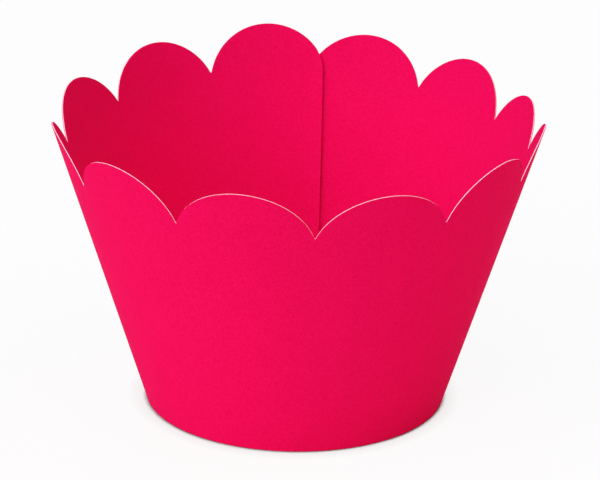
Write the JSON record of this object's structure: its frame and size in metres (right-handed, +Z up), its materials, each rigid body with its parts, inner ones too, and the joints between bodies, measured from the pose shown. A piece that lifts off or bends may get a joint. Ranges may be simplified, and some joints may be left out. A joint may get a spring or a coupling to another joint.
{
  "type": "cupcake wrapper",
  "caption": "Open cone of thin pink card with a scalloped top edge and a glued lap, which slips round a baked cupcake in its case.",
  "frame": {"origin": "under the middle of the wrapper's box, level with the bottom edge that it stands on; the cone's axis passes 0.9 mm in front of it", "axes": "+Z up, parallel to the cone's axis, towards the scalloped rim; +Y towards the back, where the glued lap is; +X to the right as seen from the front"},
  "size_m": [0.0794, 0.0802, 0.0535],
  "materials": {
    "card": "matte dyed card, pale at the cut edge"
  },
  "bodies": {
    "root": {"wrapper_band": "card"}
  },
  "joints": []
}
